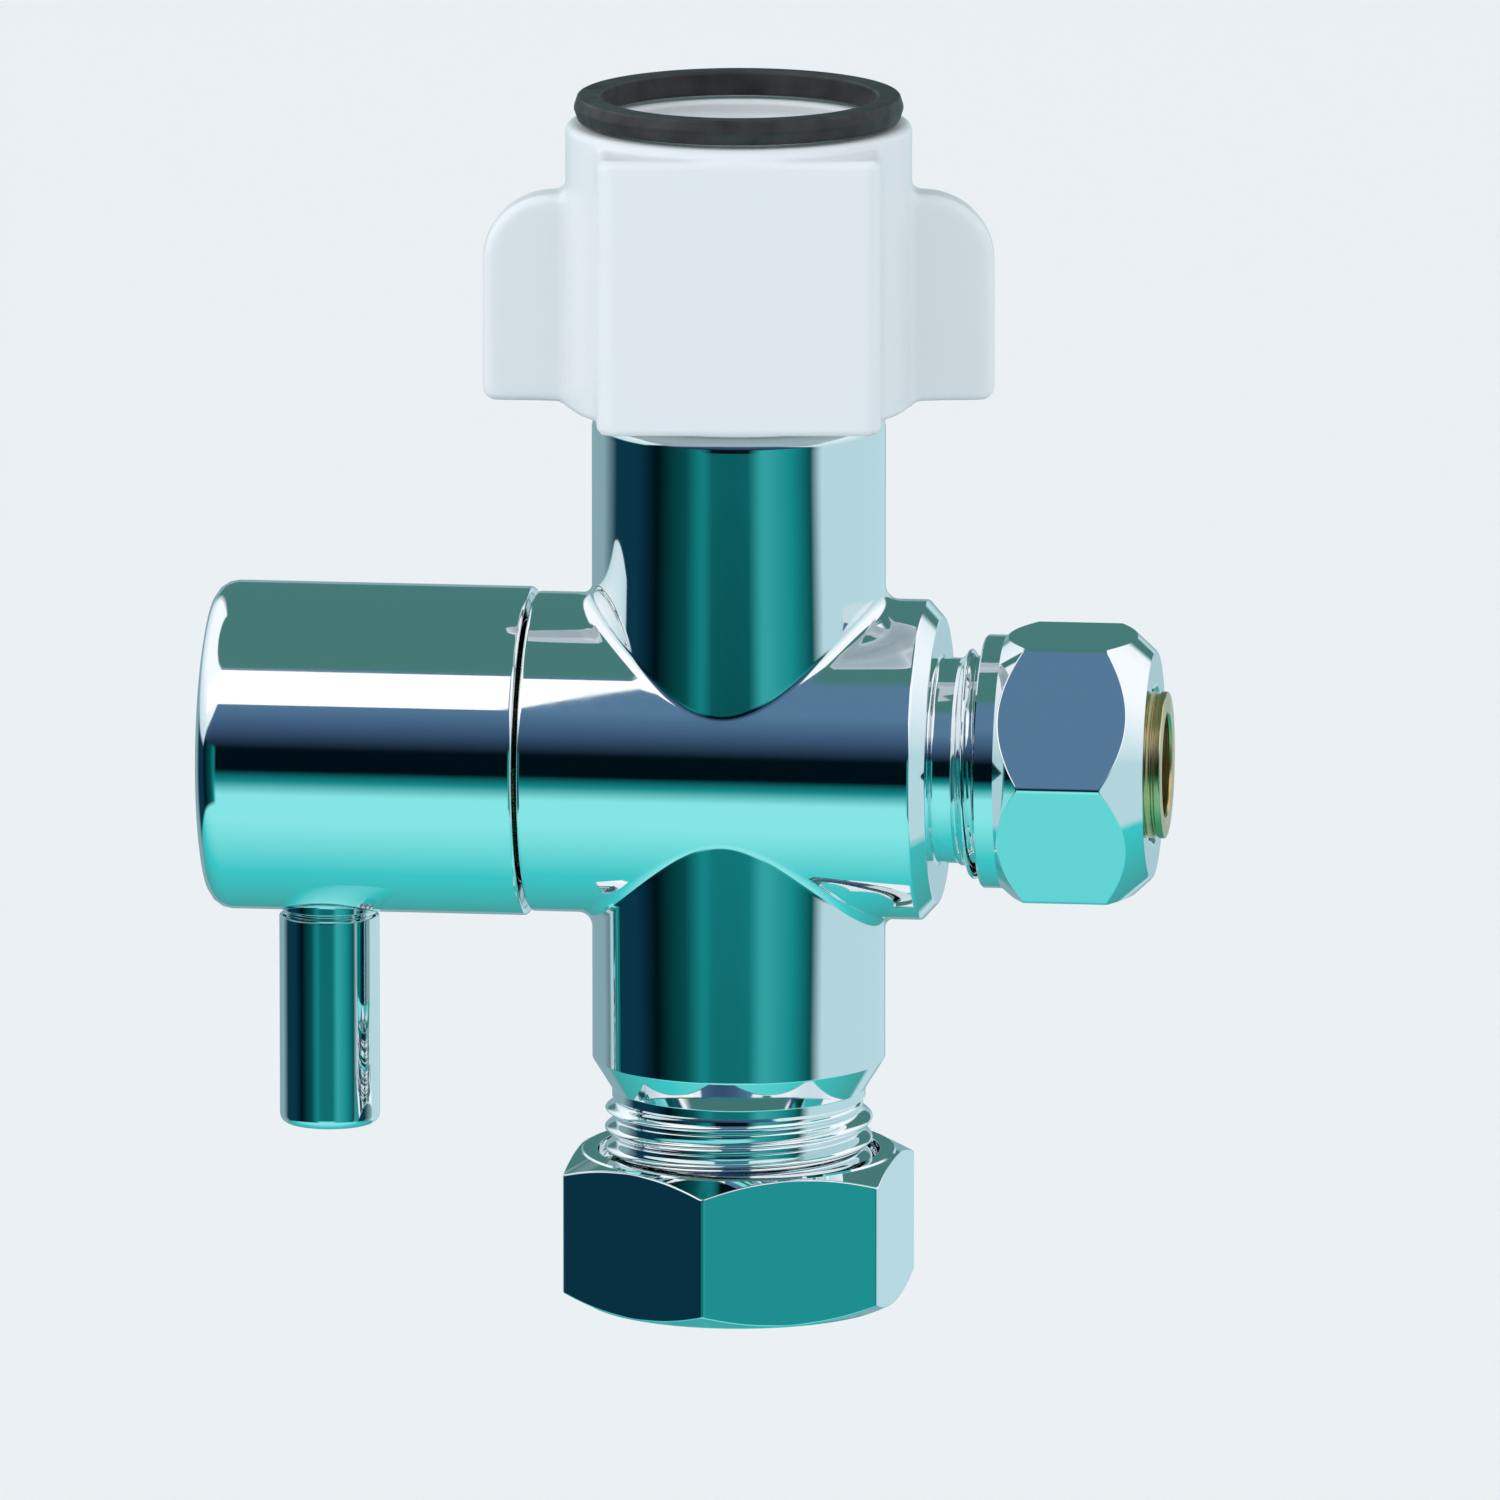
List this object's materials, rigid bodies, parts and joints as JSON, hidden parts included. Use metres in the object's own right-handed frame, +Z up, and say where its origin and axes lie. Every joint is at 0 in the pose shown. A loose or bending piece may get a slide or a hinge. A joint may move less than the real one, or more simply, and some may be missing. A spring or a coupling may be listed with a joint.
{
  "type": "angle stop valve",
  "caption": "Chrome tee-type angle stop valve with a quarter-turn pin-lever knob, a captive winged plastic tank nut, and hexagon hose nuts on its inlet and side outlet.",
  "frame": {"origin": "centre of the top face of the ring on the tank nut's mouth, on the tube's axis, where the tank's shank enters", "axes": "+Z up along the tube, out of the tank nut; +X along the barrel towards the side outlet, away from the knob; -Y the front, towards which the lever pin swings"},
  "size_m": [0.0851, 0.034, 0.1084],
  "materials": {
    "chrome_plate": "polished chrome plate on brass",
    "brass": "machined brass",
    "spring_steel": "satin stainless steel",
    "black_rubber": "moulded black rubber",
    "white_plastic": "semi-gloss moulded white plastic, slightly translucent",
    "white_ceramic": "lapped white alumina ceramic",
    "glide_plastic": "natural low-friction plastic"
  },
  "bodies": {
    "root": {"valve_body": "chrome_plate", "retaining_clip": "spring_steel", "tank_washer": "black_rubber", "cartridge_housing": "brass", "housing_o_ring": "black_rubber", "fixed_ceramic_disc": "white_ceramic", "seat_seal": "black_rubber"},
    "handle": {"handle_knob": "chrome_plate", "lever_pin": "chrome_plate", "grub_screw": "spring_steel", "spindle": "brass", "rotating_ceramic_disc": "white_ceramic", "spindle_o_ring_inner": "black_rubber", "spindle_o_ring_outer": "black_rubber", "glide_washer": "glide_plastic", "spindle_circlip": "spring_steel", "stop_ring": "spring_steel"},
    "tank_nut": {"swivel_nut": "white_plastic", "mouth_seal_ring": "black_rubber"},
    "inlet_union": {"inlet_washer": "black_rubber", "inlet_collar": "brass"},
    "inlet_hose_nut": {"inlet_nut": "chrome_plate"},
    "outlet_union": {"outlet_washer": "black_rubber", "outlet_collar": "brass"},
    "outlet_hose_nut": {"outlet_nut": "chrome_plate"}
  },
  "joints": [
    {"name": "handle_turn", "type": "hinge", "parent": "root", "child": "handle", "pos_m": [-0.03665, 0, -0.0594], "axis": [-1, 0, 0], "range_deg": [0, 90]},
    {"name": "tank_nut_spin", "type": "hinge", "parent": "root", "child": "tank_nut", "pos_m": [0, 0, -0.015], "axis": [0, 0, 1], "continuous": true},
    {"name": "inlet_union_travel", "type": "slide", "parent": "root", "child": "inlet_union", "axis": [0, 0, -1], "range_m": [0, 0.00726]},
    {"name": "inlet_nut_turn", "type": "hinge", "parent": "inlet_union", "child": "inlet_hose_nut", "pos_m": [0, 0, -0.1017], "axis": [0, 0, -1], "range_deg": [0, 1440]},
    {"name": "outlet_union_travel", "type": "slide", "parent": "root", "child": "outlet_union", "axis": [1, 0, 0], "range_m": [0, 0.00907]},
    {"name": "outlet_nut_turn", "type": "hinge", "parent": "outlet_union", "child": "outlet_hose_nut", "pos_m": [0.0295, 0, -0.0594], "axis": [1, 0, 0], "range_deg": [0, 1800]}
  ],
  "couplings": [
    {"joint": "inlet_nut_turn", "follows": "inlet_union_travel", "rad_per_m": 3463.2},
    {"joint": "outlet_nut_turn", "follows": "outlet_union_travel", "rad_per_m": 3463.2}
  ]
}
